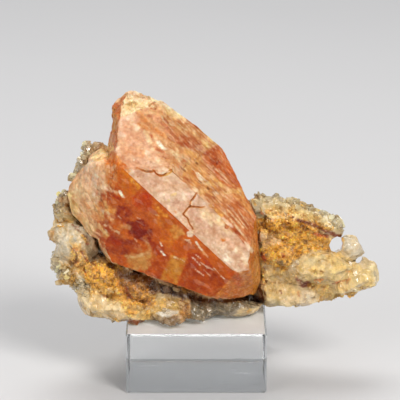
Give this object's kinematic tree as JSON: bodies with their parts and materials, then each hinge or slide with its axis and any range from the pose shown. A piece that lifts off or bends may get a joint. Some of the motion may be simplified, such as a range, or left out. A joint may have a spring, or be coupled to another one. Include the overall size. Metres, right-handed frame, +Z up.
{
  "type": "mineral specimen",
  "caption": "Orange scheelite crystal, a broad bevelled form with a rounded lobe, on iron-stained quartz with a drusy side wing, resting on a clear square block.",
  "frame": {"origin": "centre of the display block's flat underside", "axes": "+X to the right along the quartz wing, +Y to the back, away from the viewer, +Z up"},
  "size_m": [0.0694, 0.0295, 0.0597],
  "materials": {
    "scheelite": "glassy to satin, translucent orange",
    "quartz": "glassy and rough, stained with iron",
    "clear_acrylic": "polished, clear"
  },
  "bodies": {
    "root": {"scheelite_crystal": "scheelite", "quartz_matrix": "quartz", "display_block": "clear_acrylic"}
  },
  "joints": []
}
